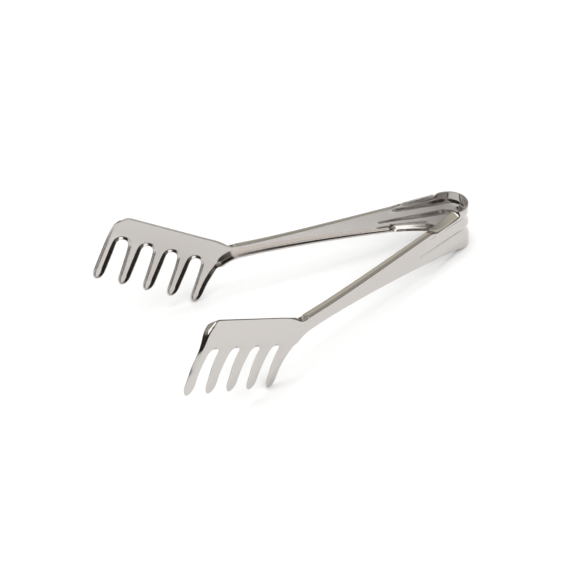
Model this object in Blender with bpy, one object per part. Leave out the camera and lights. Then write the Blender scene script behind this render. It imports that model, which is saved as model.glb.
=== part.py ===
"""Spaghetti tongs pressed from one strip of stainless steel sheet.

Metres, +Z up. X runs from the combs at the front (-X) to the spring bow at the back (+X), and the
mid-plane is y = 0. The left arm is on the -Y side. The tongs lie as on a table: the fifth tooth of each
comb and the lower edge of the bow touch z = 0. Every formed region is a curved sheet that gets its
thickness from a Solidify modifier.
"""

import math

import bmesh
import bpy
import numpy as np

MM = 0.001

# Sheet, and the gap kept between neighbouring formed regions
SHEET = 0.8 * MM
SEAM_GAP = 0.3 * MM

# Spring bow
BOW_RADIUS = 11.4 * MM
BOW_HEIGHT = 26.5 * MM
BOW_TAIL = 1.6 * MM
GROOVE_DEPTH = 0.9 * MM
GROOVE_HALF_WIDTH = 3.4 * MM
UPPER_GROOVE_Z = 16.5 * MM
LOWER_GROOVE_Z = 9.0 * MM

# Arms
ARM_SPLAY = math.radians(13.5)
ARM_RUN = 110.5 * MM
ARM_TOP_AT_BOW = 25.1 * MM
ARM_TOP_CLIMB = 1.4 * MM
ARM_TOP_FLARE = 1.6 * MM
ARM_TOP_FLARE_POWER = 6
ARM_FOOT_AT_BOW = 4.4 * MM
ARM_FOOT_AT_NECK = 21.2 * MM
ARM_FOOT_CURVE = 1.4
WEB_LEAN = 0.08
FOLD_RADIUS = 1.7 * MM
TOP_FLANGE_AT_NECK = 4.1 * MM
FOOT_FLANGE_AT_NECK = 5.6 * MM
FLANGE_AT_BOW = 3.4 * MM

# Where the flanges open out into the bow, measured along the arm from the bow's tangent line
HALF_FOLD = math.radians(50)
FULL_FOLD = math.radians(88)
OPENING_START = 3.4 * MM
OPENING_END = 6.2 * MM
TOP_HALF_FOLD_END = 19.0 * MM
TOP_FULL_FOLD_START = 27.0 * MM
TOP_HALF_FOLD_DROP = 2.4 * MM
FOOT_HALF_FOLD_END = 30.0 * MM
FOOT_FULL_FOLD_START = 36.0 * MM
UPPER_GROOVE_END = 25.0 * MM
LOWER_GROOVE_END = 35.0 * MM
GROOVE_FADE = 9.0 * MM
UPPER_GROOVE_RISE = 2.2 * MM
LOWER_GROOVE_RISE = 3.4 * MM

# Combs
TOOTH_COUNT = 5
TOOTH_PITCH = 14.0 * MM
TOOTH_LENGTH = 25.0 * MM
TOOTH_WIDTH = 7.5 * MM
TOOTH_END_WIDTH = 6.2 * MM
TIP_LENGTH = 5.6 * MM
TIP_SHIFT = 0.5 * MM
BAND_HEIGHT = 13.5 * MM
CORNER_RADIUS = 7.5 * MM
CORNER_SET_BACK = 1.2 * MM
COMB_RISE = math.radians(33.9)
COMB_SPLAY = math.radians(12.5)
DISH_RADIUS = 28.0 * MM
LIP_WIDTH = 1.5 * MM
LIP_DEPTH = 0.8 * MM
CORNER_LIP_DEPTH = 2.4 * MM
NECK_TO_FIRST_TIP = 74.0 * MM
NECK_STEP = 1.7 * MM
NECK_TOP_BLEND = 9.0 * MM
NECK_FADE = 14.4 * MM
NECK_FOOT_RISE = 13.0 * MM

# Mesh fineness
BOW_STEPS = 22
BOW_ROWS = 18
OPENING_STEPS = 5
FOLDING_STEPS = 12
CHANNEL_STEPS = 9
WEB_ROWS = 15
FOLD_STEPS = 3
ARCH_STEPS = 8
TIP_STEPS = 5
CURVE_STEPS = 6
DISH_CUTS = 6
NECK_CUTS = 4

STEEL = (0.78, 0.77, 0.75, 1.0)
STEEL_ROUGHNESS = 0.09


def smooth(value, start, end):
    """0 before start, 1 after end, with an S-shaped rise between them."""
    t = np.clip((np.asarray(value, float) - start) / (end - start), 0.0, 1.0)
    return t * t * (3.0 - 2.0 * t)


# Plan of the strip, seen from above

def tangent_arc():
    """Length of the bow's arc from its back to the line where an arm leaves it."""
    return BOW_RADIUS * (math.pi / 2 - ARM_SPLAY)


def plan_point(length):
    """Outer face of the right arm's strip, `length` along it from the back of the bow.

    The answer is the point (x, y), from the bow's centre, and the inward unit normal.
    """
    arc = tangent_arc()
    angle = min(length, arc) / BOW_RADIUS
    straight = max(length - arc, 0.0)
    x = BOW_RADIUS * math.cos(angle) - straight * math.cos(ARM_SPLAY)
    y = BOW_RADIUS * math.sin(angle) + straight * math.sin(ARM_SPLAY)
    return (x, y), (-math.cos(angle), -math.sin(angle))


def seam_length():
    """Distance along the strip from the bow's back to the seam where an arm starts to flex."""
    return tangent_arc() + BOW_TAIL


def arm_length():
    """Length of an arm along its splayed line, from the bow's tangent line to the neck."""
    tangent_x = BOW_RADIUS * math.sin(ARM_SPLAY)
    return (ARM_RUN + tangent_x) / math.cos(ARM_SPLAY)


# Height of the strip along an arm

def arm_top(share):
    """Height of an arm's upper side: a steady climb from the bow, with a flare at the neck."""
    return ARM_TOP_AT_BOW + ARM_TOP_CLIMB * share + ARM_TOP_FLARE * share ** ARM_TOP_FLARE_POWER


def arm_heights(along):
    """Lowest and highest straight line of the web, `along` an arm from the bow's tangent line."""
    share = along / arm_length()
    top = arm_top(share)
    drop = (1.0 - share) ** ARM_FOOT_CURVE
    foot = ARM_FOOT_AT_NECK - (ARM_FOOT_AT_NECK - ARM_FOOT_AT_BOW) * drop
    dip = 1.0 - float(smooth(along, TOP_HALF_FOLD_END, TOP_FULL_FOLD_START))
    return foot + FOLD_RADIUS, top - FOLD_RADIUS - TOP_HALF_FOLD_DROP * dip


def fold_angles(along):
    """How far the lower and the upper flange are folded in: none at the bow, square along the arm."""
    opened = float(smooth(along, OPENING_START, OPENING_END))
    foot = float(smooth(along, FOOT_HALF_FOLD_END, FOOT_FULL_FOLD_START))
    top = float(smooth(along, TOP_HALF_FOLD_END, TOP_FULL_FOLD_START))
    grow = FULL_FOLD - HALF_FOLD
    return (HALF_FOLD + grow * foot) * opened, (HALF_FOLD + grow * top) * opened


def flange_widths(along, foot, top):
    """Width of each flange beyond its fold, so that the raw edges meet the bow's edges at the seam."""
    share = along / arm_length()
    foot_depth, top_depth = (FLANGE_AT_BOW + (depth - FLANGE_AT_BOW) * share
                             for depth in (FOOT_FLANGE_AT_NECK, TOP_FLANGE_AT_NECK))
    opened = float(smooth(along, OPENING_START, OPENING_END))
    bend = fold_length()
    return ((foot - bend) * (1 - opened) + (foot_depth - FOLD_RADIUS) * opened,
            (BOW_HEIGHT - top - bend) * (1 - opened) + (top_depth - FOLD_RADIUS) * opened)


def groove_depth(height, along):
    """How far the two stiffening grooves press the web inwards, at a height and `along` the arm."""
    run = max(along, 0.0)
    grooves = ((UPPER_GROOVE_Z, UPPER_GROOVE_RISE, UPPER_GROOVE_END),
               (LOWER_GROOVE_Z, LOWER_GROOVE_RISE, LOWER_GROOVE_END))
    depth = 0.0
    for level, rise, end in grooves:
        centre = level + rise * run / end
        shape = max(0.0, 1.0 - abs(height - centre) / GROOVE_HALF_WIDTH)
        depth += shape * shape * (3 - 2 * shape) * (1.0 - float(smooth(run, end - GROOVE_FADE, end)))
    return GROOVE_DEPTH * depth


def fold_length():
    """Length of sheet that each fold takes up, the same however far it is folded."""
    return FOLD_RADIUS * FULL_FOLD


def flange_profile(angle, width):
    """Fold and flange beyond the web's straight end, as (inward, outward along the web) offsets."""
    points = []
    inward, outward = 0.0, 0.0
    for step in range(FOLD_STEPS):
        turn = angle * (step + 0.5) / FOLD_STEPS
        inward += fold_length() / FOLD_STEPS * math.sin(turn)
        outward += fold_length() / FOLD_STEPS * math.cos(turn)
        points.append((inward, outward))
    points.append((inward + width * math.sin(angle), outward + width * math.cos(angle)))
    return points


def arm_profile(along):
    """Cross-section of an arm from the lower raw edge to the upper one, as (inward, height).

    Away from the bow the web leans, so that its foot stands further out than its top.
    """
    foot, top = arm_heights(along)
    foot_angle, top_angle = fold_angles(along)
    foot_width, top_width = flange_widths(along, foot, top)
    lower = [(inward, foot - out) for inward, out in flange_profile(foot_angle, foot_width)]
    upper = [(inward, top + out) for inward, out in flange_profile(top_angle, top_width)]
    heights = np.linspace(foot, top, WEB_ROWS)
    web = [(groove_depth(height, along), height) for height in heights]
    lean = WEB_LEAN * float(smooth(along, OPENING_END, FOOT_HALF_FOLD_END))
    return [(inward - lean * (top - height), height) for inward, height in lower[::-1] + web + upper]


# Meshes and objects

def grid_mesh(name, rows):
    """Mesh of quads through equal rows of points."""
    mesh = bpy.data.meshes.new(name)
    count = len(rows[0])
    corners = [point for row in rows for point in row]
    faces = []
    for i in range(len(rows) - 1):
        for j in range(count - 1):
            first = i * count + j
            faces.append((first, first + 1, first + count + 1, first + count))
    mesh.from_pydata(corners, [], faces)
    return mesh


def face_outwards(mesh, outward):
    """Flip the sheet if its first face doesn't look along the outward direction."""
    mesh.update()
    if mesh.polygons[0].normal.dot(outward) < 0:
        mesh.flip_normals()


def steel_material(name):
    material = bpy.data.materials.new(name)
    material.use_nodes = True
    shader = material.node_tree.nodes["Principled BSDF"]
    shader.inputs["Base Color"].default_value = STEEL
    shader.inputs["Metallic"].default_value = 1.0
    shader.inputs["Roughness"].default_value = STEEL_ROUGHNESS
    material.diffuse_color = STEEL
    return material


def add_sheet(name, mesh, parent):
    """Object of one formed region. The mesh is the outer face, and the thickness goes inwards."""
    mesh.shade_smooth()
    mesh.set_sharp_from_angle(angle=math.radians(40))
    mesh.materials.append(steel_material(name + "_steel"))
    sheet = bpy.data.objects.new(name, mesh)
    bpy.context.collection.objects.link(sheet)
    wall = sheet.modifiers.new("Sheet", 'SOLIDIFY')
    wall.thickness = SHEET
    wall.offset = -1.0
    sheet.parent = parent
    return sheet


def add_empty(name, location, parent=None):
    empty = bpy.data.objects.new(name, None)
    empty.empty_display_size = BOW_RADIUS
    empty.location = location
    empty.parent = parent
    bpy.context.collection.objects.link(empty)
    return empty


# Spring bow

def bow_mesh():
    """Strip wound round the bow's centre, with the two grooves running round it."""
    rows = []
    for length in np.linspace(-seam_length(), seam_length(), BOW_STEPS + 1):
        side = math.copysign(1.0, length)
        (x, y), (nx, ny) = plan_point(abs(length))
        row = []
        for height in np.linspace(0.0, BOW_HEIGHT, BOW_ROWS):
            press = groove_depth(height, 0.0)
            row.append((x + nx * press, side * (y + ny * press), height))
        rows.append(row)
    mesh = grid_mesh("spring_bow", rows)
    face_outwards(mesh, (0.0, -1.0, 0.0))
    return mesh


# Arms

def arm_mesh(name, side, pivot):
    """Channel swept from the seam at the bow to the neck, in the pivot's own frame."""
    start = BOW_TAIL + SEAM_GAP
    end = arm_length() - SEAM_GAP
    opening = np.linspace(OPENING_START, OPENING_END, OPENING_STEPS)
    folding = np.linspace(OPENING_END, FOOT_FULL_FOLD_START, FOLDING_STEPS + 1)[1:]
    channel = np.linspace(FOOT_FULL_FOLD_START, end, CHANNEL_STEPS + 1)[1:]
    rows = []
    for along in np.concatenate([[start], opening, folding, channel]):
        (x, y), (nx, ny) = plan_point(tangent_arc() + along)
        rows.append([(x + nx * inward - pivot[0], side * (y + ny * inward) - pivot[1], height)
                     for inward, height in arm_profile(along)])
    mesh = grid_mesh(name, rows)
    middle = mesh.polygons[len(mesh.polygons) // 2]
    if middle.normal.y * side < 0:
        mesh.flip_normals()
    return mesh


# Combs

def comb_axes():
    """Unit vectors of the right comb: along the band to the neck, up the teeth, and inwards."""
    run = (math.cos(COMB_RISE), -math.sin(COMB_RISE))
    along = np.array([run[0] * math.cos(COMB_SPLAY), -math.sin(COMB_SPLAY), run[1] * math.cos(COMB_SPLAY)])
    up = np.array([math.sin(COMB_RISE), 0.0, math.cos(COMB_RISE)])
    return along, up, np.cross(along, up)


def side_to_plate(x, height):
    """Plate coordinates of a point given in side view, from the first tooth's tip."""
    along = (x * math.cos(COMB_RISE) - height * math.sin(COMB_RISE)) / math.cos(COMB_SPLAY)
    return along, x * math.sin(COMB_RISE) + height * math.cos(COMB_RISE)


def bezier(start, start_pull, end_pull, end, steps):
    """Points of a cubic curve after its start, up to its end."""
    t = np.linspace(0.0, 1.0, steps + 1)[1:, None]
    p0, p1, p2, p3 = (np.array(p) for p in (start, start_pull, end_pull, end))
    return list((1 - t) ** 3 * p0 + 3 * (1 - t) ** 2 * t * p1 + 3 * (1 - t) * t ** 2 * p2 + t ** 3 * p3)


def tooth_end(centre):
    """Rounded, slightly skewed end of a tooth, from its neck side round to its free side."""
    points = []
    for step in range(2 * TIP_STEPS + 1):
        turn = math.pi * step / (2 * TIP_STEPS)
        height = TIP_LENGTH * (1 - math.sin(turn))
        skew = TIP_SHIFT * (1 - height / TOOTH_LENGTH)
        points.append((centre + skew + math.cos(turn) * TOOTH_END_WIDTH / 2, height))
    return points


def slot_arch(centre):
    """Round top of a slot, from its neck side to its free side."""
    radius = (TOOTH_PITCH - TOOTH_WIDTH) / 2
    points = []
    for step in range(ARCH_STEPS + 1):
        turn = math.pi * step / ARCH_STEPS
        points.append((centre + radius * math.cos(turn), TOOTH_LENGTH - radius * (1 - math.sin(turn))))
    return points


def lowest_drop():
    """How far the last tooth's end lies below the first tooth's tip."""
    last = (TOOTH_COUNT - 1) * TOOTH_PITCH
    along, up, _ = comb_axes()
    return -min(a * along[2] + b * up[2] for a, b in tooth_end(last - TIP_SHIFT))


def neck_section():
    """Raw edges and web ends of the arm's section at the neck, upwards, as (inward, height)."""
    profile = arm_profile(arm_length())
    return profile[0], profile[FOLD_STEPS + 1], profile[-FOLD_STEPS - 2], profile[-1]


def neck_seam():
    """Points of the neck seam in plate coordinates, upwards."""
    base = lowest_drop()
    return [side_to_plate(NECK_TO_FIRST_TIP, height - base) for _, height in neck_section()]


def neck_point(height):
    """Point of the right arm's section at the neck that is nearest in height."""
    (x, y), (nx, ny) = plan_point(tangent_arc() + arm_length())
    press, level = min(neck_section(), key=lambda end: abs(end[1] - height))
    return np.array([x + nx * press, y + ny * press, level])


def comb_outline():
    """Outline of a comb's plate, from the neck's upper corner past the free end to its lower corner."""
    (foot_a, foot_b), web_foot, web_top, (top_a, top_b) = neck_seam()
    top = TOOTH_LENGTH + BAND_HEIGHT
    corner_side = -(TOOTH_WIDTH + TIP_SHIFT) / 2 + CORNER_SET_BACK
    last = (TOOTH_COUNT - 1) * TOOTH_PITCH
    arm_way = np.array([math.cos(COMB_RISE), math.sin(COMB_RISE)])
    pull = NECK_TOP_BLEND / 2
    blend_start = (top_a - NECK_TOP_BLEND, top)
    seam = np.array([top_a, top_b])
    curve = bezier(blend_start, (blend_start[0] + pull, top), seam - arm_way * pull, seam, CURVE_STEPS)
    points = [tuple(p) for p in curve[::-1]]
    points.append(blend_start)
    corner = [(corner_side + CORNER_RADIUS * (1 + math.cos(turn)), top - CORNER_RADIUS * (1 - math.sin(turn)))
              for turn in np.linspace(math.pi / 2, math.pi, ARCH_STEPS // 2 + 1)]
    points += corner
    points.append((-(TOOTH_WIDTH + TIP_SHIFT) / 2, TOOTH_LENGTH - CORNER_RADIUS))
    for tooth in range(TOOTH_COUNT):
        centre = tooth * TOOTH_PITCH - TIP_SHIFT
        points += tooth_end(centre)[::-1]
        if tooth < TOOTH_COUNT - 1:
            points += slot_arch(centre + TOOTH_PITCH / 2)[::-1]
    side_foot = (last - TIP_SHIFT + TOOTH_WIDTH / 2, TOOTH_LENGTH - NECK_FOOT_RISE)
    points.append(side_foot)
    reach = (foot_b - side_foot[1]) * 0.55
    seam = np.array([foot_a, foot_b])
    pulled = (side_foot[0] + reach * 0.12, side_foot[1] + reach)
    curve = bezier(side_foot, pulled, seam - arm_way * reach * 0.6, seam, 2 * CURVE_STEPS)
    points += [tuple(p) for p in curve]
    return points + [web_foot, web_top]


def inward_offset(a, b, on_edge):
    """How far a point of the comb lies inside its flat plate: the band's dish and the rolled lip."""
    top_a, top_b = neck_seam()[-1]
    neck = float(smooth(a, top_a - NECK_FADE, top_a))
    above = max(b - TOOTH_LENGTH + LIP_WIDTH, 0.0)
    dish = above * above / (2 * DISH_RADIUS) * (1.0 - neck)
    dish += (NECK_STEP - WEB_LEAN * (top_b - b)) * neck
    if not on_edge:
        return dish
    top = TOOTH_LENGTH + BAND_HEIGHT
    free_top = float(smooth(b, TOOTH_LENGTH * 0.8, top - CORNER_RADIUS))
    free_top *= 1.0 - float(smooth(b, top - CORNER_RADIUS, top))
    free_top *= 1.0 - float(smooth(a, -TOOTH_WIDTH / 4, TOOTH_WIDTH))
    lip = LIP_DEPTH + (CORNER_LIP_DEPTH - LIP_DEPTH) * free_top
    neck_edge = float(smooth(b, TOOTH_LENGTH - LIP_WIDTH, TOOTH_LENGTH + BAND_HEIGHT / 2))
    neck_edge *= float(smooth(a, top_a - NECK_TOP_BLEND, top_a))
    lip += (TOP_FLANGE_AT_NECK - LIP_DEPTH) * neck_edge
    return dish + lip


def comb_mesh(name, side, first_tip, pivot):
    """Plate with slots, dished band and rolled edges, in the pivot's own frame."""
    bm = bmesh.new()
    plate = bm.faces.new([bm.verts.new((a, b, 0.0)) for a, b in comb_outline()])
    bmesh.ops.recalc_face_normals(bm, faces=[plate])
    bmesh.ops.inset_region(bm, faces=[plate], thickness=LIP_WIDTH, use_boundary=True,
                           use_even_offset=True)
    for level in TOOTH_LENGTH + np.linspace(-LIP_WIDTH, BAND_HEIGHT - 2 * LIP_WIDTH, DISH_CUTS):
        geometry = bm.verts[:] + bm.edges[:] + bm.faces[:]
        bmesh.ops.bisect_plane(bm, geom=geometry, dist=1e-7, plane_co=(0, level, 0), plane_no=(0, 1, 0))
    top_a, _ = neck_seam()[-1]
    for station in np.linspace(top_a - NECK_FADE, top_a - LIP_WIDTH, NECK_CUTS):
        geometry = bm.verts[:] + bm.edges[:] + bm.faces[:]
        bmesh.ops.bisect_plane(bm, geom=geometry, dist=1e-7, plane_co=(station, 0, 0), plane_no=(1, 0, 0))
    bmesh.ops.triangulate(bm, faces=bm.faces[:])
    along, up, inward = comb_axes()
    for vert in bm.verts:
        offset = inward_offset(vert.co.x, vert.co.y, vert.is_boundary)
        point = first_tip + along * vert.co.x + up * vert.co.y
        if vert.is_boundary and point[0] - first_tip[0] > NECK_TO_FIRST_TIP - SEAM_GAP:
            point = neck_point(point[2])
        else:
            point = point + inward * offset
        vert.co = (point[0] - pivot[0], side * point[1] - pivot[1], point[2])
    mesh = bpy.data.meshes.new(name)
    bm.to_mesh(mesh)
    bm.free()
    faces_out = sum(face.normal.y * side * face.area for face in mesh.polygons)
    if faces_out < 0:
        mesh.flip_normals()
    return mesh


# Assembly

def clear_scene():
    for old in list(bpy.data.objects):
        bpy.data.objects.remove(old, do_unlink=True)


def comb_first_tip():
    """Tip of the right comb's first tooth, from the bow's centre, with the plate meeting the arm."""
    (x, y), _ = plan_point(tangent_arc() + arm_length())
    along, _, _ = comb_axes()
    neck_a = np.mean([a for a, _ in neck_seam()])
    return np.array([x - NECK_TO_FIRST_TIP, y + NECK_STEP - along[1] * neck_a, lowest_drop()])


def build():
    clear_scene()
    first_tip = comb_first_tip()
    along, up, _ = comb_axes()
    front = first_tip[0] + min(a * along[0] + b * up[0] for a, b in comb_outline())
    middle = (front + BOW_RADIUS) / 2
    tongs = add_empty("tongs", (-middle, 0.0, 0.0))
    add_sheet("spring_bow", bow_mesh(), tongs)
    (seam_x, seam_y), (nx, ny) = plan_point(seam_length())
    for name, side in (("left", -1), ("right", 1)):
        pivot = (seam_x + nx * SHEET / 2, side * (seam_y + ny * SHEET / 2), 0.0)
        flex = add_empty(name + "_flex", pivot, tongs)
        add_sheet(name + "_arm", arm_mesh(name + "_arm", side, pivot), flex)
        add_sheet(name + "_comb", comb_mesh(name + "_comb", side, first_tip, pivot), flex)


build()
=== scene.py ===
# %% [markdown]
# Spaghetti tongs, pressed from one strip of mirror-polished spring steel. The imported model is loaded
# first. It gives the bodies that move: the bow, the left side and the right side. Each half of the
# strip, from the middle of the bow to the last tooth, is then made as one continuous sheet, because
# the real strip has no seam between its bow, its arm and its comb.

# %% Load the frame
import math

import bmesh
import bpy
import numpy as np
from mathutils import Matrix, Vector
from mathutils.geometry import delaunay_2d_cdt


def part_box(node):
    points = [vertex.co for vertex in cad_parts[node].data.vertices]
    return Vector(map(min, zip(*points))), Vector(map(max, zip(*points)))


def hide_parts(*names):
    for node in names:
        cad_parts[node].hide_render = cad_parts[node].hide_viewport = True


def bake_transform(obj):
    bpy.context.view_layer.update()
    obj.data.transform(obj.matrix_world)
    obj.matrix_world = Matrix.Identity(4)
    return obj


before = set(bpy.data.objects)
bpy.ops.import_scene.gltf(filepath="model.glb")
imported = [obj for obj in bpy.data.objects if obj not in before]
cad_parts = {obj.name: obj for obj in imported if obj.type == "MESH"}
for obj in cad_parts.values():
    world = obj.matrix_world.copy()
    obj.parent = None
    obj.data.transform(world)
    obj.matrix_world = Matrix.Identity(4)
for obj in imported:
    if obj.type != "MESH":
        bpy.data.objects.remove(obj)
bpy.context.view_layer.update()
MM = 0.001


# %% [markdown]
# The sizes are those of the solids, in millimetres. The strip's plan is a half circle, the bow, that
# runs on into a straight splayed arm. A place on the strip is its distance from the back of the bow.
# Everything is worked out for the right half. The left half is its mirror image, so a side is a
# factor for y: 1 is the right half and -1 the left one.

# %% Sizes of the strip, in millimetres
SHEET = 0.8
BOW_RADIUS = 11.4
BOW_HEIGHT = 26.5
ARM_SPLAY = math.radians(13.5)
ARM_RUN = 110.5
BOW_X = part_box("spring_bow")[1][0] / MM - BOW_RADIUS
TANGENT_ARC = BOW_RADIUS * (math.pi / 2 - ARM_SPLAY)
ARM_LENGTH = (ARM_RUN + BOW_RADIUS * math.sin(ARM_SPLAY)) / math.cos(ARM_SPLAY)
print("centre of the bow at x =", round(BOW_X, 2), "mm, arm length", round(ARM_LENGTH, 2), "mm")


def smooth(value, start, end):
    """0 before start, 1 after end, and 3t^2 - 2t^3 of the share t between them."""
    t = np.clip((np.asarray(value, float) - start) / (end - start), 0.0, 1.0)
    return t * t * (3.0 - 2.0 * t)


def strip_plan(length):
    """Outer face of the right half, seen from above, at distances from the back of the bow.

    On the arc the angle is length / radius, and the point is the radius in that direction. Past the
    tangent line the point moves straight on. The normal points to the inside of the tongs.
    """
    length = np.asarray(length, float)
    angle = np.minimum(length, TANGENT_ARC) / BOW_RADIUS
    straight = np.maximum(length - TANGENT_ARC, 0.0)
    x = BOW_X + BOW_RADIUS * np.cos(angle) - straight * math.cos(ARM_SPLAY)
    y = BOW_RADIUS * np.sin(angle) + straight * math.sin(ARM_SPLAY)
    return x, y, -np.cos(angle), -np.sin(angle)


# %% [markdown]
# Every raw edge of the strip is bent inwards. Along the teeth it is a short rolled lip, and along the
# arms a flange at about a right angle. Both have one shape: an arc of sheet and then a short straight
# piece, which can turn back half way where a fold is left half done. A modifier could round the edges
# afterwards, but with one formula only the angles, the arc's length and the straight piece change from
# place to place, so the lip can grow into the flange without a break.

# %% The bent edge
FOLD_STEPS = 6
FLANGE_SHARES = (0.25, 0.5, 0.575, 0.65)
FLANGE_STEPS = len(FLANGE_SHARES) + 2
EDGE_STEPS = FOLD_STEPS + FLANGE_STEPS
TURN_BACK = (0.5, 0.65)
EDGE_HOLD = 0.2
HOLD_MOST = 0.2
LEAST_ANGLE = 1e-4
LEAST_STRAIGHT = 1e-3


def bent_edge(angle, arc, straight, last_angle=None):
    """Offsets outwards in the sheet's plane and inwards from it, across the bent edge.

    At a share t of the arc the offsets are arc * sin(angle t) / angle and
    arc * (1 - cos(angle t)) / angle. The straight piece then goes on at the full angle, or turns back
    to a last angle half way. Its last row but one lies close to the raw edge, to keep its face flat.
    """
    angle = np.maximum(np.asarray(angle, float), LEAST_ANGLE)[:, None]
    last = angle if last_angle is None else np.asarray(last_angle, float)[:, None]
    arc = np.asarray(arc, float)[:, None]
    straight = np.asarray(straight, float)[:, None]
    t = np.linspace(0.0, 1.0, FOLD_STEPS + 1)[None, 1:]
    out = arc * np.sin(angle * t) / angle
    into = arc * (1.0 - np.cos(angle * t)) / angle
    hold = 1.0 - np.minimum(EDGE_HOLD / np.maximum(straight, LEAST_STRAIGHT), HOLD_MOST)
    none = np.zeros_like(hold)
    shares = np.concatenate([none, none + np.array(FLANGE_SHARES), hold, none + 1.0], axis=1)
    middle = angle + (last - angle) * smooth((shares[:, 1:] + shares[:, :-1]) / 2, *TURN_BACK)
    pieces = np.diff(shares, axis=1) * straight
    out = np.concatenate([out, out[:, -1:] + np.cumsum(pieces * np.cos(middle), axis=1)], axis=1)
    into = np.concatenate([into, into[:, -1:] + np.cumsum(pieces * np.sin(middle), axis=1)], axis=1)
    return out, into


test_out, test_in = bent_edge([math.pi / 2], [2.0], [3.0])
print("bent edge:", EDGE_STEPS, "rows; a right angle of arc 2 and straight 3 mm reaches",
      round(test_out[0, -1], 2), "mm out and", round(test_in[0, -1], 2), "mm in")

# %% [markdown]
# Two grooves are pressed round the bow for stiffness and fade out along each arm. Bump in the material
# could fake them, but only real walls mirror the room as pressed ones do, so they are part of the
# shape. Each one has the height of its deepest line at the back of the bow, its rise for each
# millimetre of strip, and the distance at which it ends. A pair of values is for the bow and for the
# groove's end.

# %% Grooves
GROOVES = ((18.8, 0.07, 42.5), (11.2, 0.09, 52.5))
GROOVE_TURN = 3.0
GROOVE_NARROWS = 10.0
GROOVE_DEPTH = (1.1, 0.75)
GROOVE_ABOVE = (2.7, 2.2)
GROOVE_BELOW = (4.6, 3.6)
GROOVE_FADE = 5.0
GROOVE_ROUND = 0.006
GROOVE_SHARP = 0.6


def groove_press(height, length):
    """How far the grooves press the web inwards, at heights and distances from the bow's back.

    The deepest line's height grows evenly with sqrt(length^2 + turn^2) - turn, so it is level at the
    back. Above it the wall is steep, below it is gentle. The press is the depth times a mix of 1 - d
    and its smooth step, where d^2 is the sum of the squares of the distance from that line, in groove
    widths, and of the share of the fading end, and a little for a round bottom. The groove grows
    narrower and shallower along the arm and ends in a round.
    """
    run = np.sqrt(length ** 2 + GROOVE_TURN ** 2) - GROOVE_TURN
    depth = 0.0
    for level, rise, end in GROOVES:
        late = smooth(run, GROOVE_NARROWS, end)
        above, below, deepest = (start + (last - start) * late
                                 for start, last in (GROOVE_ABOVE, GROOVE_BELOW, GROOVE_DEPTH))
        offset = height - level - rise * run
        beyond = np.maximum(run - end + GROOVE_FADE, 0.0) / GROOVE_FADE
        widths = offset / np.where(offset > 0.0, above, below)
        hump = np.clip(1.0 - np.sqrt(widths ** 2 + beyond ** 2 + GROOVE_ROUND), 0.0, 1.0)
        hump = GROOVE_SHARP * hump + (1.0 - GROOVE_SHARP) * smooth(hump, 0.0, 1.0)
        depth = depth + deepest * hump
    return depth


press_at_back = groove_press(np.arange(0.0, BOW_HEIGHT, 0.1), 0.0)
print("grooves:", len(GROOVES), "pressed", round(press_at_back.max(), 2), "mm deep at the bow's back")

# %% [markdown]
# An arm is a channel. Its web is tall at the bow and low at the neck, its two flanges are folded in,
# and near the bow they open out in steps, half folded first, until the strip is flat. A section could
# be swept along the arm, but this one changes all the way, so its lines are functions of the place on
# the strip. The two arms differ a little near the bow, so some values come in two kinds, under 1 for
# the right arm and -1 for the left one. Of three values in a row, the first is near the bow, the next
# past the step and the last at the neck.

# %% Web of an arm
FOLD_RADIUS = 1.1
FOLD_ARC = 2.0
FOLD_TOP_SHARE, FOLD_FOOT_SHARE = 0.5, 0.41
TOP_FOLD = {1: np.radians((27, 92, 93)), -1: np.radians((47, 92, 93))}
TOP_AT_BOW, TOP_CLIMB, TOP_FLARE, TOP_FLARE_CURVE = 25.2, 1.2, 1.6, 6
FOOT_AT_BOW, FOOT_AT_NECK, FOOT_CURVE = 4.4, 21.2, 1.4
FOOT_DIP, FOOT_DIP_END = {1: 1.2, -1: 2.0}, 24.0
FOOT_RISE, FOOT_RISE_START = {1: 3.0, -1: 0.0}, (-3.0, 9.0)
TOP_FLANGE = {1: (6.2, 3.0, 4.6), -1: (6.2, 3.8, 4.6)}
TOP_STEP = (19.5, 27.0)
FOOT_STEP = (25.5, 31.0)
OUTLINE_SINK = 0.815
TOP_BULGE, TOP_BULGE_END = 0.55, (19.0, 30.0)
TOP_DROP, TOP_DROP_SLOPE = 3.8, 0.09


def three_ways(values, step, share):
    """near + (past + (neck - past) * share - near) * step, with three values in a row."""
    near, past, neck = values
    return near + (past + (neck - past) * share - near) * step


def edge_height(along):
    """Height of the right arm's outline over its upper fold line, seen from obliquely above.

    It is the largest value of outwards - sink * inwards across the bent edge.
    """
    share = np.maximum(along, 0.0) / ARM_LENGTH
    folded = smooth(along, *TOP_STEP)
    angle = three_ways(TOP_FOLD[1], folded, share)
    straight = three_ways(TOP_FLANGE[1], folded, share) - FOLD_ARC
    out, into = bent_edge(angle, np.full_like(angle, FOLD_ARC), straight)
    return (out - OUTLINE_SINK * into).max(axis=1)


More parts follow.
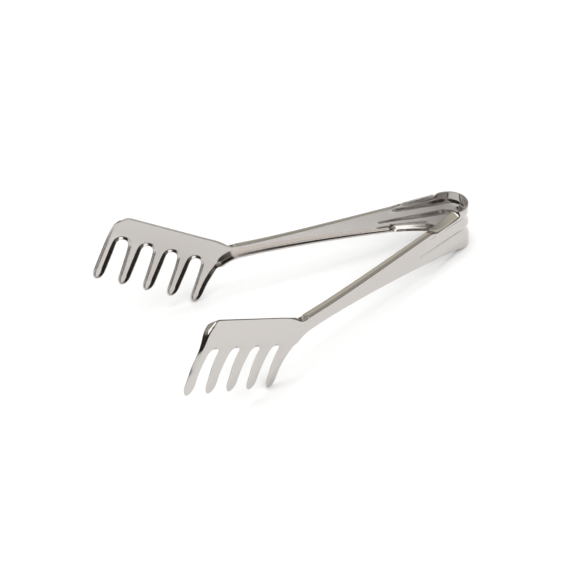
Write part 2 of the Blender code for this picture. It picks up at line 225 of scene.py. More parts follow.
def arm_lines(along, side):
    """Lowest and highest straight line of the web, at distances along the arm from the tangent line.

    The lines lie a little inside the channel's outline, because the fold's round corner takes the rest.
    Near the bow the upper line gives way to the half folded edge: on the right arm by the height that
    the edge adds to the outline, so that it stays even, and on the left arm by an evenly falling drop.
    The lower line dips a little near the bow, and the right arm's is raised up to the lower step.
    """
    share = np.maximum(along, 0.0) / ARM_LENGTH
    top = TOP_AT_BOW + TOP_CLIMB * share + TOP_FLARE * share ** TOP_FLARE_CURVE
    foot = FOOT_AT_NECK - (FOOT_AT_NECK - FOOT_AT_BOW) * np.clip(1.0 - share, 0.0, 1.0) ** FOOT_CURVE
    foot = foot - FOOT_DIP[side] * (1.0 - smooth(along, 0.0, FOOT_DIP_END))
    foot = foot + FOOT_RISE[side] * smooth(along, *FOOT_RISE_START) * (1.0 - smooth(along, *FOOT_STEP))
    if side > 0:
        dip = edge_height(along) - edge_height(np.maximum(along, TOP_STEP[1]))
        dip = dip - TOP_BULGE * (1.0 - smooth(along, *TOP_BULGE_END))
    else:
        dip = TOP_DROP - TOP_DROP_SLOPE * (TOP_STEP[0] - np.maximum(along, 0.0))
        dip = dip * (1.0 - smooth(along, *TOP_STEP))
    return foot + FOLD_FOOT_SHARE * FOLD_RADIUS, top - FOLD_TOP_SHARE * FOLD_RADIUS - dip


for side in (-1, 1):
    feet, tops = arm_lines(np.array([0.0, ARM_LENGTH]), side)
    print("side", side, "web at the bow and at the neck, in mm: from", feet.round(1),
          "to", tops.round(1))

# %% [markdown]
# A flange's depth is measured along the sheet, with its arc. Towards the bow the fold angle goes to
# zero and the depth to what is left of the bow's height, so the folded strip becomes the plain one.
# Where it opens, its raw edge keeps a little room above the floor.

# %% Flanges of an arm
FOOT_FOLD = np.radians((50, 91.5, 92))
FOOT_LAST = {1: np.radians((30, 91.5, 92)), -1: FOOT_FOLD}
FOOT_FLANGE = {1: (5.2, 2.9, 5.0), -1: (4.6, 2.9, 5.0)}
FOOT_OPENING = (-8.0, 5.0)
TOP_OPENING = (0.6, 4.4)
EDGE_ROOM = 0.25
MEAN_ANGLE_SHARE = 0.9


def arm_edges(along, foot, top, side):
    """(angle, arc, straight, last angle) of the lower and of the upper bent edge along the strip.

    An angle is its three-way value times the opening. The depth is mixed in the same share from the
    room beside the web and the flange's three-way value, and its straight piece is the depth less
    the arc.
    """
    share = np.maximum(along, 0.0) / ARM_LENGTH
    arc = np.full_like(share, FOLD_ARC)
    values = []
    lower = (FOOT_STEP, FOOT_OPENING, FOOT_FOLD, FOOT_LAST[side], FOOT_FLANGE[side], foot)
    upper = (TOP_STEP, TOP_OPENING, TOP_FOLD[side], TOP_FOLD[side], TOP_FLANGE[side], BOW_HEIGHT - top)
    for step, opening, fold, last, flange, room in (lower, upper):
        opened, folded = smooth(along, *opening), smooth(along, *step)
        angle = three_ways(fold, folded, share) * opened
        last_angle = three_ways(last, folded, share) * opened
        depth = room * (1 - opened) + three_ways(flange, folded, share) * opened
        limit = (room - EDGE_ROOM) / np.cos(MEAN_ANGLE_SHARE * angle)
        depth = np.where(along < opening[1], np.minimum(depth, limit), depth)
        values.append((angle, arc, depth - FOLD_ARC, last_angle))
    return values


# %% [markdown]
# The strip's surface is a grid: a row for each distance along it, and across it the lower bent edge,
# the web and the upper bent edge. Grooves, flanges and lean all move a point along the normal of the
# strip's plan, so they simply add up.

# %% Surface of the strip
WEB_LEAN = 0.08
WEB_ROWS = 56


def arm_lean(along):
    """Outward lean of the web for each millimetre below its upper line, none at the bow."""
    return WEB_LEAN * smooth(along, TOP_OPENING[1], FOOT_STEP[1])


def arm_grid(lengths, side):
    """Points of one half's strip, as if on the right: a row per distance, lower to upper raw edge.

    A point is the plan's point, moved along the plan's normal by the bent edge's offset plus the
    groove's press less lean * distance below the web's upper line. Its height is the web's or the
    bent edge's.
    """
    along = lengths - TANGENT_ARC
    foot, top = arm_lines(along, side)
    lower, upper = arm_edges(along, foot, top, side)
    out_low, in_low = bent_edge(*lower)
    out_up, in_up = bent_edge(*upper)
    share = np.linspace(0.0, 1.0, WEB_ROWS)[None, :]
    web = foot[:, None] + (top - foot)[:, None] * share
    heights = np.concatenate([(foot[:, None] - out_low)[:, ::-1], web, top[:, None] + out_up], axis=1)
    press = np.concatenate([in_low[:, ::-1], np.zeros_like(web), in_up], axis=1)
    press = press + groove_press(heights, lengths[:, None])
    press -= arm_lean(along)[:, None] * (top[:, None] - heights)
    x, y, nx, ny = (values[:, None] for values in strip_plan(lengths))
    return np.stack([x + nx * press, y + ny * press, heights], axis=-1)


seam_row = arm_grid(np.array([TANGENT_ARC + ARM_LENGTH]), 1)[0]
print("neck section:", len(seam_row), "points from z", round(seam_row[:, 2].min(), 2),
      "to", round(seam_row[:, 2].max(), 2), "mm")

# %% [markdown]
# A comb is a flat plate cut into five teeth, with a band above them that curves gently inwards. The
# plate has its own coordinates: a runs along the band, b up the teeth, both from the first tooth's
# tip. Towards the neck the plate's surface melts into the plane of the arm's web, so that arm and comb
# are one sheet. Near the neck both arms are the same, and the combs use the right arm's values.

# %% Surface of a comb
COMB_RISE = math.radians(33.9)
COMB_SPLAY = math.radians(12.5)
COMB_LEAN = 0.0126
DISH_RADIUS = 28.0
DISH_START = 23.5
NECK_X = 74.0
NECK_FADE = 14.4
ALONG = np.array([math.cos(COMB_RISE) * math.cos(COMB_SPLAY), -math.sin(COMB_SPLAY),
                  -math.sin(COMB_RISE) * math.cos(COMB_SPLAY)])
UP = np.array([math.sin(COMB_RISE), COMB_LEAN, math.cos(COMB_RISE)])
INWARD = np.cross(ALONG, UP) / np.linalg.norm(np.cross(ALONG, UP))
FIRST_TIP_SIDE = 53.9
FIRST_TIP_HEIGHT = 30.8
FIRST_TIP = np.array([BOW_X - ARM_RUN - NECK_X, FIRST_TIP_SIDE, FIRST_TIP_HEIGHT])


def side_to_plate(x, z):
    """Plate coordinates of a place given in side view, both from the first tooth's tip.

    The place is turned by the comb's rise, and a is stretched by the splay that a side view hides.
    """
    a = (x * math.cos(COMB_RISE) - z * math.sin(COMB_RISE)) / math.cos(COMB_SPLAY)
    return a, x * math.sin(COMB_RISE) + z * math.cos(COMB_RISE)


def neck_share(a, b):
    """0 on the plate and 1 at the neck seam, by the distance from the first tip in side view."""
    return smooth(a * ALONG[0] + b * UP[0], NECK_X - NECK_FADE, NECK_X)


def comb_surface(a, b):
    """Outer face of the right comb at plate coordinates.

    The plate's plane is pushed inwards by (b - start)^2 / (2 radius) above the dish's start. At the
    neck the result is mixed with the plane of the arm's web at the same place in side view.
    """
    a, b = np.asarray(a, float), np.asarray(b, float)
    dish = np.maximum(b - DISH_START, 0.0) ** 2 / (2 * DISH_RADIUS)
    plate = FIRST_TIP + a[..., None] * ALONG + b[..., None] * UP
    z = plate[..., 2]
    along = (BOW_X + BOW_RADIUS * math.sin(ARM_SPLAY) - plate[..., 0]) / math.cos(ARM_SPLAY)
    x, y, nx, ny = strip_plan(TANGENT_ARC + np.maximum(along, 0.0))
    _, top = arm_lines(along, 1)
    press = -arm_lean(along) * (top - z)
    web = np.stack([x + nx * press, y + ny * press, z], axis=-1)
    share = neck_share(a, b)[..., None]
    return (plate + dish[..., None] * INWARD) * (1 - share) + web * share


print("first tooth's tip in mm:", FIRST_TIP.round(1), "plate's inward direction:", INWARD.round(3))

# %% [markdown]
# The comb's outline is drawn once in plate coordinates. Two kinds of curve are enough for it: ovals
# for the round tips, arches and the free corner, and pulled curves for both sides of the neck. The
# joined line gets points at even distances and is softened a little, since a pressed sheet has no
# sharp corner.

# %% Curves for the outline
TOUCHING = 1e-6
SOFT_REACH = 4
SOFT_WIDTH = 1.4


def pulled_curve(p0, p1, p2, p3, count=40):
    """Curve from p0 to p3, pulled towards p1 and p2.

    It is the sum of the four points with the weights (1-t)^3, 3(1-t)^2 t, 3(1-t) t^2 and t^3.
    """
    t = np.linspace(0.0, 1.0, count)[:, None]
    return ((1 - t) ** 3 * np.array(p0) + 3 * (1 - t) ** 2 * t * np.array(p1)
            + 3 * (1 - t) * t ** 2 * np.array(p2) + t ** 3 * np.array(p3))


def oval(centre_a, centre_b, radius_a, radius_b, start, end, count=33):
    """Arc of an oval between two angles: centre + radius times the angle's cosine and sine."""
    turn = np.linspace(start, end, count)
    return np.stack([centre_a + radius_a * np.cos(turn), centre_b + radius_b * np.sin(turn)], axis=1)


def resample(points, step):
    """Points at equal distances along a line, softened over about two steps; the ends stay.

    Each new point is a mean of its neighbours, with the weight exp(-(steps away / width)^2 / 2). Past
    an end the line is continued by its own reflection in the end point.
    """
    reach = np.concatenate([[0.0], np.cumsum(np.hypot(*np.diff(points, axis=0).T))])
    keep = np.concatenate([[True], np.diff(reach) > TOUCHING])
    points, reach = points[keep], reach[keep]
    at = np.linspace(0.0, reach[-1], int(reach[-1] / step) + 1)
    line = np.stack([np.interp(at, reach, points[:, i]) for i in (0, 1)], axis=1)
    kernel = np.exp(-0.5 * (np.arange(-SOFT_REACH, SOFT_REACH + 1) / SOFT_WIDTH) ** 2)
    kernel /= kernel.sum()
    before = 2 * line[:1] - line[SOFT_REACH:0:-1]
    after = 2 * line[-1:] - line[-2:-SOFT_REACH - 2:-1]
    padded = np.concatenate([before, line, after])
    soft = np.stack([np.convolve(padded[:, i], kernel, mode="valid") for i in (0, 1)], axis=1)
    soft[0], soft[-1] = line[0], line[-1]
    return soft


bend = resample(oval(0.0, 0.0, 10.0, 10.0, 0.0, math.pi / 2), 1.0)
print("a quarter circle of 10 mm gets", len(bend), "points, its middle lies at",
      round(float(np.hypot(*bend[len(bend) // 2])), 2), "mm")

# %% [markdown]
# The outline starts at the neck's upper corner and runs along the top edge, round the free end, over
# the five teeth, and back along the lower side of the neck. The neck seam, where the arm goes on, is
# its open side. Slots could be cut out of a plate, but a single line also carries the rolled lip that
# goes all the way round.

# %% Outline of a comb
TOOTH_COUNT = 5
TOOTH_PITCH = 14.0
TOOTH_LENGTH = 25.0
TOOTH_WIDTH = 7.5
TOOTH_END_WIDTH = 6.2
TIP_LENGTH = 5.6
TIP_SHIFT = 0.5
BAND_HEIGHT = 13.5
CORNER_RADIUS = 7.5
CORNER_SET_BACK = 1.2
OUTLINE_STEP = 0.45
NECK_TOP_BLEND = 9.0
NECK_FOOT_RISE = 13.0
NECK_FOOT_PULL = 0.55
NECK_FOOT_LEAN = 0.12
NECK_FOOT_EASE = 0.6


def comb_outline():
    """Closed outline without its last side, the neck seam; it runs counter-clockwise.

    A tooth's tip is half an oval, wide as the tooth's end, and its arch to the next tooth half a
    circle. The line from the one to the other is straight, so the tooth tapers.
    """
    heights = seam_row[:, 2] - FIRST_TIP_HEIGHT
    foot, top = (np.array(side_to_plate(NECK_X, heights[row])) for row in (0, -1))
    level = TOOTH_LENGTH + BAND_HEIGHT
    free_end = -(TOOTH_WIDTH + TIP_SHIFT) / 2
    arm_way = np.array([math.cos(COMB_RISE), math.sin(COMB_RISE)])
    start = np.array([top[0] - NECK_TOP_BLEND, level])
    pull = NECK_TOP_BLEND / 2
    lines = [pulled_curve(start, start + (pull, 0.0), top - arm_way * pull, top)[::-1]]
    corner = free_end + CORNER_SET_BACK + CORNER_RADIUS
    lines.append(oval(corner, level - CORNER_RADIUS, CORNER_RADIUS, CORNER_RADIUS,
                      math.pi / 2, math.pi))
    radius = (TOOTH_PITCH - TOOTH_WIDTH) / 2
    for tooth in range(TOOTH_COUNT):
        centre = tooth * TOOTH_PITCH - TIP_SHIFT
        tip = oval(centre, TIP_LENGTH, TOOTH_END_WIDTH / 2, TIP_LENGTH, math.pi, 2 * math.pi)
        tip[:, 0] += TIP_SHIFT * (1 - tip[:, 1] / TOOTH_LENGTH)
        lines.append(tip)
        if tooth < TOOTH_COUNT - 1:
            lines.append(oval(centre + TOOTH_PITCH / 2, TOOTH_LENGTH - radius, radius, radius,
                              math.pi, 0.0))
    last = np.array([(TOOTH_COUNT - 1) * TOOTH_PITCH - TIP_SHIFT + TOOTH_WIDTH / 2,
                     TOOTH_LENGTH - NECK_FOOT_RISE])
    pull = (foot[1] - last[1]) * NECK_FOOT_PULL
    lines.append(pulled_curve(last, last + (pull * NECK_FOOT_LEAN, pull),
                              foot - arm_way * pull * NECK_FOOT_EASE, foot))
    return resample(np.concatenate(lines), OUTLINE_STEP)


outline = comb_outline()
print("comb outline:", len(outline), "points from", outline[0].round(1), "to", outline[-1].round(1))

# %% [markdown]
# The lip follows the outline. It is of middle size along the teeth, flatter in the arches between
# them, widest and steepest round the free end and very narrow along the top. From there the full
# flange grows slowly along the upper side of the neck, and starts bluntly on its lower side. Round the
# tips of its teeth the right comb keeps the lip and the left comb's fades out. Each place is a span of
# a or b, over which the lip changes from one size to the next.

# %% Sizes of a comb's lip
LIP = (math.radians(46), 1.4, 1.75)
ARCH_LIP = (math.radians(30), 1.0, 1.3)
TIP_LIP = {1: (math.radians(46), 1.1, 0.55), -1: (math.radians(24), 0.8, 0.2)}
TIP_REACH = {1: (-1.0, 7.0), -1: (0.5, 16.0)}
TOP_LIP = (math.radians(36), 0.75, 0.05)
CORNER_LIP = (math.radians(72), 2.9, 1.0)
TOP_FLANGE_START = (51.0, 66.0)
FOOT_FLANGE_START = (21.5, 26.0)
CORNER_START, CORNER_END = (20.0, 32.0), (-1.0, 4.0)
ARCH_START, ARCH_SIDE = (17.0, 25.5), (-3.0, -1.0)
TOP_START = (28.0, 33.0)
TIP_LEVEL = 1.0


def mixed(values, goals, share):
    """Each value goes over to its goal: value + (goal - value) * share."""
    return [value + (goal - value) * share for value, goal in zip(values, goals)]


def comb_edge_values(line, side):
    """(angle, arc, straight) of the bent edge at each point of the outline.

    The flanges grow only on their own stretch of the line: before the free end, and after the last
    tooth's tip.
    """
    a, b = line[:, 0], line[:, 1]
    place = np.arange(len(line))
    on_top = place < np.argmin(a)
    on_neck = place > np.argmax(a * (b < TIP_LEVEL))
    corner = smooth(b, *CORNER_START) * (1.0 - smooth(a, *CORNER_END))
    tip = 1.0 - smooth(b, *TIP_REACH[side])
    arch = smooth(b, *ARCH_START) * smooth(a, *ARCH_SIDE)
    top = smooth(b, *TOP_START) * smooth(a, *CORNER_END)
    values = [np.full(len(line), v) for v in LIP]
    for goals, share in ((ARCH_LIP, arch), (CORNER_LIP, corner), (TIP_LIP[side], tip), (TOP_LIP, top)):
        values = mixed(values, goals, share)
    for fold, flange, share in (
            (TOP_FOLD[1], TOP_FLANGE[1], smooth(a, *TOP_FLANGE_START) * on_top),
            (FOOT_FOLD, FOOT_FLANGE[1], smooth(b, *FOOT_FLANGE_START) * on_neck)):
        values = mixed(values, (fold[2], FOLD_ARC, flange[2] - FOLD_ARC), share)
    return values


for side in (-1, 1):
    fold_angles = np.degrees(comb_edge_values(outline, side)[0])
    print("side", side, "lip angles from", fold_angles.min().round(), "to", fold_angles.max().round())

# %% [markdown]
# The lip is bent from the plate's surface: outwards follows the dish, and inwards stands square on the
# outline and on that direction. At the neck both directions turn into those of the arm, so the rows of
# the comb's lip and of the arm's flange meet point by point.

# %% Bent edge of a comb
SLOPE_STEP = 0.05


def comb_edge_grid(line, side):
    """Fold line in plate coordinates and points of the bent edge, one row per outline point.

    The fold line lies inside the outline by the edge's own width. The outward direction is the
    outline's normal, turned upright towards the neck seam. On the surface it is the difference
    between two places a small step apart, divided by that step.
    """
    way = np.gradient(line, axis=0)
    way /= np.linalg.norm(way, axis=1)[:, None]
    out = np.stack([way[:, 1], -way[:, 0]], axis=1)
    upright = np.array(side_to_plate(0.0, 1.0))
    share = neck_share(line[:, 0], line[:, 1])[:, None] ** 2
    out = out * (1 - share) + np.sign(out @ upright)[:, None] * upright * share
    across, inwards = bent_edge(*comb_edge_values(line, side))
    fold = line - out * across[:, -1:]
    base = comb_surface(fold[:, 0], fold[:, 1])
    ahead = fold + out * SLOPE_STEP
    out3 = (comb_surface(ahead[:, 0], ahead[:, 1]) - base) / SLOPE_STEP
    in3 = np.cross(out3, np.gradient(base, axis=0))
    in3 /= np.linalg.norm(in3, axis=1)[:, None]
    _, _, nx, ny = strip_plan(TANGENT_ARC + ARM_LENGTH)
    in3 = in3 * (1 - share) + np.array([nx, ny, 0.0]) * share
    grid = base[:, None] + out3[:, None] * across[..., None] + in3[:, None] * inwards[..., None]
    return fold, np.concatenate([base[:, None], grid], axis=1)


edges = {side: comb_edge_grid(outline, side) for side in (-1, 1)}
print("comb's bent edge:", edges[1][1].shape[0], "rows of", edges[1][1].shape[1], "points")

# %% [markdown]
# Inside the fold line the plate is filled. A plain grid can't follow five teeth, and one big face
# would not bend with the dish. So it is filled with near even triangles, between the fold line's own
# points, the seam's points and an even pattern of points inside them.

# %% Fill of a comb
FILL_STEP = 0.95
FILL_ROW_SHARE = 0.866
FILL_CLEARANCE = 0.55
FILL_TOLERANCE = 1e-5
INSIDE_ONLY = 1


def inside(points, loop):
    """True for points inside a closed loop, by counting the sides that a ray to the right crosses."""
    x, y = points[:, :1], points[:, 1:]
    x0, y0 = loop[:, 0][None], loop[:, 1][None]
    x1, y1 = np.roll(loop[:, 0], -1)[None], np.roll(loop[:, 1], -1)[None]
    spans = (y0 > y) != (y1 > y)
    rise = np.where(spans, y1 - y0, 1.0)
    return (spans & (x < (x1 - x0) * (y - y0) / rise + x0)).sum(axis=1) % 2 == 1


def comb_fill(fold):
    """Points and triangles of the plate inside the fold line and the neck seam.

    Every second row of the pattern is shifted by half a step, so its triangles are nearly equal
    sided. Its points keep a clearance from the loop, or slivers would show in the mirror finish.
    """
    heights = seam_row[EDGE_STEPS + 1:-EDGE_STEPS - 1, 2] - FIRST_TIP_HEIGHT
    seam = np.stack(side_to_plate(NECK_X, heights), axis=1)
    loop = np.concatenate([fold, seam])
    low, high = loop.min(axis=0), loop.max(axis=0)
    columns = np.arange(low[0], high[0], FILL_STEP)
    rows = np.arange(low[1], high[1], FILL_STEP * FILL_ROW_SHARE)
    a, b = np.meshgrid(columns, rows)
    a[1::2] += FILL_STEP / 2
    pattern = np.stack([a.ravel(), b.ravel()], axis=1)
    pattern = pattern[inside(pattern, loop)]
    near = np.hypot(*(loop[:, None] - pattern).transpose(2, 0, 1)).min(axis=0) < FILL_CLEARANCE
    points = np.concatenate([loop, pattern[~near]])
    filled = delaunay_2d_cdt([Vector(p) for p in points], [], [list(range(len(loop)))],
                             INSIDE_ONLY, FILL_TOLERANCE)
    return np.array([tuple(v) for v in filled[0]]), [tuple(face) for face in filled[2]]


fills = {side: comb_fill(fold) for side, (fold, _) in edges.items()}
print("fill:", len(fills[1][0]), "points and", len(fills[1][1]), "triangles")

# %% [markdown]
# The rows along the strip are close together where it bends, at the bow and where the flanges open,
# and further apart along the plain channel. One more row lies a hair from the bow's back, so that the
# two halves meet there with level faces.

# %% Rows along the strip
BOW_ROWS, OPENING_ROWS, STEP_ROWS, ARM_ROWS = 0.42, 0.22, 0.42, 1.1
PAST_OPENING, PAST_STEP = 1.0, 9.0
FIRST_ROW = 0.02


def strip_lengths():
    """Distances along the strip at which it gets a row, evenly spread in each of four spans."""
    closer = TANGENT_ARC + TOP_OPENING[1] + PAST_OPENING
    plain = TANGENT_ARC + FOOT_STEP[1] + PAST_STEP
    seam = TANGENT_ARC + ARM_LENGTH
    spans = ((0.0, TANGENT_ARC, BOW_ROWS), (TANGENT_ARC, closer, OPENING_ROWS),
             (closer, plain, STEP_ROWS), (plain, seam, ARM_ROWS))
    rows = [np.linspace(start, end, int((end - start) / step) + 1)[:-1] for start, end, step in spans]
    return np.concatenate([[0.0, FIRST_ROW], np.concatenate(rows)[1:], [seam]])


print("rows along a half:", len(strip_lengths()))

# %% [markdown]
# Bow and arm, the comb's bent edge and its fill are three sets of points that share some of them. They
# are put into one mesh, the shared points are merged, and the faces are turned to point outwards. At
# this stage the half is a skin without thickness, so its raw edge is one open line.

# %% One half as a skin
def grid_faces(rows, columns, first):
    """Quads of points numbered row by row from first: a corner, the next one, and the two a row on."""
    corner = first + np.arange(rows - 1)[:, None] * columns + np.arange(columns - 1)[None, :]
    corner = corner.ravel()
    return np.stack([corner, corner + 1, corner + columns + 1, corner + columns], axis=1).tolist()


def half_mesh(name, side):
    """Skin of one half, worked out as a right one and multiplied by the side in y."""
    strip = arm_grid(strip_lengths(), side)
    edge_grid = edges[side][1]
    fill_points, fill_faces = fills[side]
    fill = comb_surface(fill_points[:, 0], fill_points[:, 1])
    parts = [strip.reshape(-1, 3), edge_grid.reshape(-1, 3), fill]
    faces = grid_faces(strip.shape[0], strip.shape[1], 0)
    first = strip.shape[0] * strip.shape[1]
    faces += grid_faces(edge_grid.shape[0], edge_grid.shape[1], first)
    first += edge_grid.shape[0] * edge_grid.shape[1]
    faces += (np.array(fill_faces) + first).tolist()
    corners = np.concatenate(parts) * (1.0, side, 1.0) * MM
    mesh = bpy.data.meshes.new(name)
    mesh.from_pydata(corners.tolist(), [], faces)
    bm = bmesh.new()
    bm.from_mesh(mesh)
    before = len(bm.verts)
    bmesh.ops.remove_doubles(bm, verts=bm.verts[:], dist=FIRST_ROW * MM / 2)
    bmesh.ops.recalc_face_normals(bm, faces=bm.faces[:])
    outward = sum(face.normal.y * side * face.calc_area() for face in bm.faces)
    if outward < 0:
        bmesh.ops.reverse_faces(bm, faces=bm.faces[:])
    open_edges = sum(1 for edge in bm.edges if edge.is_boundary)
    print(name, "merged", before - len(bm.verts), "points, open edges", open_edges)
    bm.to_mesh(mesh)
    bm.free()
    return mesh


# %% [markdown]
# The steel is polished like a mirror. A real pressed sheet still shows faint draw marks and small
# differences in gloss, so its roughness changes a little from place to place and a weak bump breaks
# the reflections slightly. The marks are drawn out along x, the way the strip was rolled. A picture of
# brushed metal would need its own layout on the sheet, while noise in the piece's own coordinates
# needs none. The cut edge is the same steel, left as the punch and the tumbling made it.

# %% Steel
STEEL_COLOUR = (0.555, 0.528, 0.509, 1.0)
CUT_COLOUR = (0.60, 0.58, 0.56, 1.0)
DRAWN_OUT = (0.35, 1.0, 1.0)
NOISE_DETAIL = 4.0
BUMP_STRENGTH = 0.2


def steel_material(name, colour, rough, spread, bump_height, scale):
    """Metal with roughness from rough - spread to rough + spread by noise, and a bump of that noise."""
    material = bpy.data.materials.new(name)
    material.use_nodes = True
    nodes, links = material.node_tree.nodes, material.node_tree.links
    shader = nodes["Principled BSDF"]
    shader.inputs["Base Color"].default_value = colour
    shader.inputs["Metallic"].default_value = 1.0
    place = nodes.new("ShaderNodeTexCoord")
    stretch = nodes.new("ShaderNodeMapping")
    stretch.inputs["Scale"].default_value = DRAWN_OUT
    links.new(place.outputs["Object"], stretch.inputs["Vector"])
    noise = nodes.new("ShaderNodeTexNoise")
    noise.inputs["Scale"].default_value = scale
    noise.inputs["Detail"].default_value = NOISE_DETAIL
    links.new(stretch.outputs["Vector"], noise.inputs["Vector"])
    gloss = nodes.new("ShaderNodeMapRange")
    gloss.inputs["To Min"].default_value = rough - spread
    gloss.inputs["To Max"].default_value = rough + spread
    links.new(noise.outputs["Fac"], gloss.inputs["Value"])
    links.new(gloss.outputs["Result"], shader.inputs["Roughness"])
    bump = nodes.new("ShaderNodeBump")
    bump.inputs["Strength"].default_value = BUMP_STRENGTH
    bump.inputs["Distance"].default_value = bump_height
    links.new(noise.outputs["Fac"], bump.inputs["Height"])
    links.new(bump.outputs["Normal"], shader.inputs["Normal"])
    material.diffuse_color = colour
    return material


steel = steel_material("polished_steel", STEEL_COLOUR,
                       rough=0.11, spread=0.03, bump_height=0.00004, scale=260.0)
cut_edge = steel_material("punched_edge_steel", CUT_COLOUR,
                          rough=0.5, spread=0.08, bump_height=0.00008, scale=1900.0)
print("materials:", steel.name, cut_edge.name)

# %% [markdown]
# Solidify gives the skin its wall, towards the inside, and Bevel takes the sharpness off the cut edge
# as tumbling does on the real strip. Both are then made part of the mesh.

# %% Wall and cut edge
CUT_BEVEL = 0.14
CUT_BEVEL_STEPS = 2
SHARP_ANGLE = math.radians(55)


def finished(obj):
    """Replaces an object's mesh by the result of its modifiers."""
    graph = bpy.context.evaluated_depsgraph_get()
    mesh = bpy.data.meshes.new_from_object(obj.evaluated_get(graph))
    mesh.name = obj.name
    obj.modifiers.clear()
    obj.data = mesh
    return obj


def half(name, side):
    """One half of the tongs as a closed sheet with a wall and slightly rounded cut edges."""
    obj = bpy.data.objects.new(name, half_mesh(name, side))
    bpy.context.scene.collection.objects.link(obj)
    wall = obj.modifiers.new("Wall", "SOLIDIFY")
    wall.thickness = SHEET * MM
    wall.offset = -1.0
    wall.use_quality_normals = True
    wall.material_offset_rim = 1
    obj.data.materials.append(steel)
    obj.data.materials.append(cut_edge)
    soften = obj.modifiers.new("Soft cut edge", "BEVEL")
    soften.width = CUT_BEVEL * MM
    soften.segments = CUT_BEVEL_STEPS
    soften.limit_method = "ANGLE"
    soften.angle_limit = SHARP_ANGLE
    finished(obj)
    obj.data.shade_smooth()
    obj.data.set_sharp_from_angle(angle=SHARP_ANGLE)
    obj.data.calc_loop_triangles()
    print(name, len(obj.data.loop_triangles), "triangles")
    return obj


print("wall", SHEET, "mm, cut edge rounded by", CUT_BEVEL, "mm")

# %% [markdown]
# The real tongs have no pivot: the bow bends, and two stiff pieces on a hinge would tear apart there.
# Each half takes the place of the solids of its arm and comb, and the left one also of the bow.

# %% The two halves
for body, side in (("left", -1), ("right", 1)):
    piece = half(body + "_half", side)
    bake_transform(piece)
    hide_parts(body + "_arm", body + "_comb")
    if side < 0:
        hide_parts("spring_bow")

# %% [markdown]
# A plain pale floor carries the tongs. The main lamp is a wide one above the front, like a window. A
# second, softer one high above only lightens the floor and the matt places: reflections don't show
# it, since the steel would mirror it as a second window.

# %% Floor and lamps
FLOOR_REACH = 3.0
FLOOR_COLOUR = (0.9, 0.9, 0.895, 1.0)
FLOOR_ROUGHNESS = 0.9


def stage_floor():
    """A wide square just under the tongs."""
    mesh = bpy.data.meshes.new("floor")
    corners = [(x * FLOOR_REACH, y * FLOOR_REACH, 0.0) for x, y in ((-1, -1), (1, -1), (1, 1), (-1, 1))]
    mesh.from_pydata(corners, [], [(0, 1, 2, 3)])
    floor = bpy.data.objects.new("floor", mesh)
    bpy.context.scene.collection.objects.link(floor)
    material = bpy.data.materials.new("pale_floor")
    material.use_nodes = True
    shader = material.node_tree.nodes["Principled BSDF"]
    shader.inputs["Base Color"].default_value = FLOOR_COLOUR
    shader.inputs["Roughness"].default_value = FLOOR_ROUGHNESS
    mesh.materials.append(material)
    return floor


def area_lamp(name, place, target, width, height, watts):
    """A rectangular lamp at a place, turned towards a target, all in metres."""
    light = bpy.data.lights.new(name, "AREA")
    light.shape = "RECTANGLE"
    light.size, light.size_y = width, height
    light.energy = watts
    lamp = bpy.data.objects.new(name, light)
    lamp.location = place
    way = Vector(target) - Vector(place)
    lamp.rotation_euler = way.to_track_quat("-Z", "Y").to_euler()
    bpy.context.scene.collection.objects.link(lamp)
    return lamp


stage_floor()
area_lamp("window", place=(0.18, -0.84, 0.80), target=(0.12, 0.0, 0.0),
          width=0.96, height=0.76, watts=3.48)
overhead = area_lamp("overhead", place=(0.05, 0.0, 1.6), target=(0.05, 0.001, 0.0),
                     width=1.1, height=1.1, watts=12.7)
overhead.visible_glossy = False
print("floor and lamps set:", ", ".join(light.name for light in bpy.data.lights))

# %% [markdown]
# Polished steel shows its surroundings, so the room matters as much as the lamps. Two lists of colours
# run from 0, the horizon, to 1, straight above, by the height of the direction that is looked in. One
# is for the dark front of the room, one for its light back with a pale wall. A photographed room could
# do the same, but these few colours can be set one by one until the light and dark faces come right.
# Only reflections see them. The camera sees a white background, and all else plain even light.

# %% Room
FRONT_ROOM = ((0.0, (0.018, 0.016, 0.014)), (0.45, (0.045, 0.04, 0.033)), (0.66, (0.28, 0.27, 0.24)),
              (0.85, (0.48, 0.465, 0.42)), (1.0, (0.48, 0.475, 0.45)))
BACK_ROOM = ((0.0, (0.18, 0.155, 0.125)), (0.38, (0.23, 0.20, 0.16)), (0.50, (0.71, 0.69, 0.595)),
             (0.605, (0.76, 0.735, 0.63)), (0.67, (0.36, 0.35, 0.33)), (1.0, (0.48, 0.475, 0.45)))
BACK_WAY = (0.85, 0.35, 0.0)
BACK_EDGE = (0.22, 0.34)
PLAIN_LIGHT = 0.71
WHITE = (1.0, 1.0, 1.0, 1.0)


def height_ramp(tree, stops, height):
    """Colour ramp of (position, colour) stops, driven by a height from 0 to 1."""
    ramp = tree.nodes.new("ShaderNodeValToRGB")
    ramp.color_ramp.interpolation = "EASE"
    first, last = ramp.color_ramp.elements
    first.position, last.position = stops[0][0], stops[-1][0]
    for position, _ in stops[1:-1]:
        ramp.color_ramp.elements.new(position)
    for element, (_, colour) in zip(ramp.color_ramp.elements, stops):
        element.color = (*colour, 1.0)
    tree.links.new(height, ramp.inputs["Fac"])
    return ramp


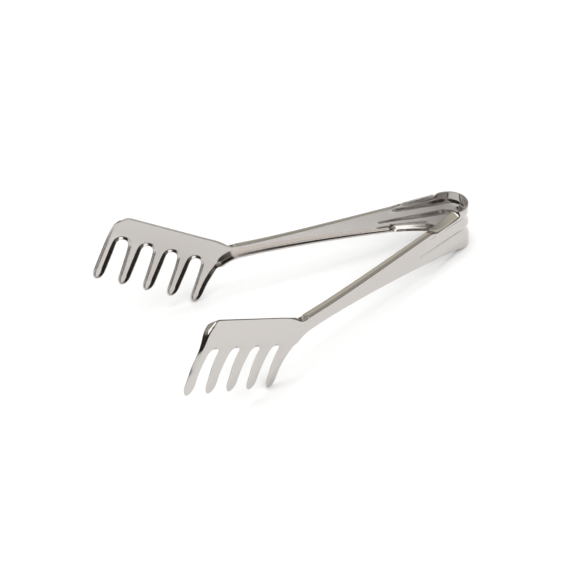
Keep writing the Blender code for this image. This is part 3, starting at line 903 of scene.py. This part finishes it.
def room():
    """World that is white for the camera, plain for diffuse light, and a dim room for reflections.

    The share of the back of the room is the smooth step of the direction's dot product with the way
    to the back.
    """
    world = bpy.data.worlds.new("studio")
    bpy.context.scene.world = world
    world.use_nodes = True
    nodes, links = world.node_tree.nodes, world.node_tree.links
    nodes.clear()
    place = nodes.new("ShaderNodeTexCoord")
    split = nodes.new("ShaderNodeSeparateXYZ")
    links.new(place.outputs["Generated"], split.inputs["Vector"])
    front, back = (height_ramp(world.node_tree, stops, split.outputs["Z"])
                   for stops in (FRONT_ROOM, BACK_ROOM))
    towards_back = nodes.new("ShaderNodeVectorMath")
    towards_back.operation = "DOT_PRODUCT"
    towards_back.inputs[1].default_value = BACK_WAY
    links.new(place.outputs["Generated"], towards_back.inputs[0])
    share = nodes.new("ShaderNodeMapRange")
    share.interpolation_type = "SMOOTHSTEP"
    share.inputs["From Min"].default_value, share.inputs["From Max"].default_value = BACK_EDGE
    links.new(towards_back.outputs["Value"], share.inputs["Value"])
    walls = nodes.new("ShaderNodeMix")
    walls.data_type = "RGBA"
    links.new(share.outputs["Result"], walls.inputs["Factor"])
    links.new(front.outputs["Color"], walls.inputs["A"])
    links.new(back.outputs["Color"], walls.inputs["B"])
    mirrored = nodes.new("ShaderNodeBackground")
    links.new(walls.outputs["Result"], mirrored.inputs["Color"])
    plain = nodes.new("ShaderNodeBackground")
    plain.inputs["Color"].default_value = WHITE
    plain.inputs["Strength"].default_value = PLAIN_LIGHT
    white = nodes.new("ShaderNodeBackground")
    white.inputs["Color"].default_value = WHITE
    rays = nodes.new("ShaderNodeLightPath")
    mirror_mix = nodes.new("ShaderNodeMixShader")
    links.new(rays.outputs["Is Glossy Ray"], mirror_mix.inputs[0])
    links.new(plain.outputs[0], mirror_mix.inputs[1])
    links.new(mirrored.outputs[0], mirror_mix.inputs[2])
    camera_mix = nodes.new("ShaderNodeMixShader")
    links.new(rays.outputs["Is Camera Ray"], camera_mix.inputs[0])
    links.new(mirror_mix.outputs[0], camera_mix.inputs[1])
    links.new(white.outputs[0], camera_mix.inputs[2])
    output = nodes.new("ShaderNodeOutputWorld")
    links.new(camera_mix.outputs[0], output.inputs["Surface"])
    return world


studio = room()
print("room set:", studio.name, "with", len(FRONT_ROOM), "and", len(BACK_ROOM), "colours by height")

# %% [markdown]
# The camera stands where the photograph was taken from: to the front left of the tongs, well above
# them, tilted a little to one side. Its place and lens were worked out from the tongs' own mirrored
# points, such as the tips of both combs.

# %% Camera
AZIMUTH, ELEVATION, ROLL = (math.radians(v) for v in (-25.21, 38.58, -7.78))
FOCAL_PIXELS = 1151.0
PHOTO_PIXELS = 570.0
SENSOR_MM = 36.0
CAMERA_PLACE = (-0.2132, -0.4193, 0.3900)


def camera_turn():
    """Rotation whose columns are the camera's right, up and back directions.

    Back points from the object to the camera, by azimuth and elevation. The level and the upright
    direction square to it are turned by the roll angle.
    """
    back = Vector((math.sin(AZIMUTH) * math.cos(ELEVATION), -math.cos(AZIMUTH) * math.cos(ELEVATION),
                   math.sin(ELEVATION)))
    level = Vector((math.cos(AZIMUTH), math.sin(AZIMUTH), 0.0))
    upright = back.cross(level)
    right = level * math.cos(ROLL) + upright * math.sin(ROLL)
    up = upright * math.cos(ROLL) - level * math.sin(ROLL)
    return Matrix((right, up, back)).transposed()


lens = bpy.data.cameras.new("photo_camera")
lens.sensor_width = SENSOR_MM
lens.lens = SENSOR_MM * FOCAL_PIXELS / PHOTO_PIXELS
camera = bpy.data.objects.new("photo_camera", lens)
camera.matrix_world = Matrix.Translation(CAMERA_PLACE) @ camera_turn().to_4x4()
bpy.context.scene.collection.objects.link(camera)
bpy.context.scene.camera = camera
bpy.context.scene.view_settings.view_transform = "Standard"
print("lens", round(lens.lens, 1), "mm")

# %% [markdown]
# At the end the view layer is updated once more. The finer lips and folds make the box of the finished
# tongs differ from the box of the solids by about half a millimetre.

# %% Last update
bpy.context.view_layer.update()
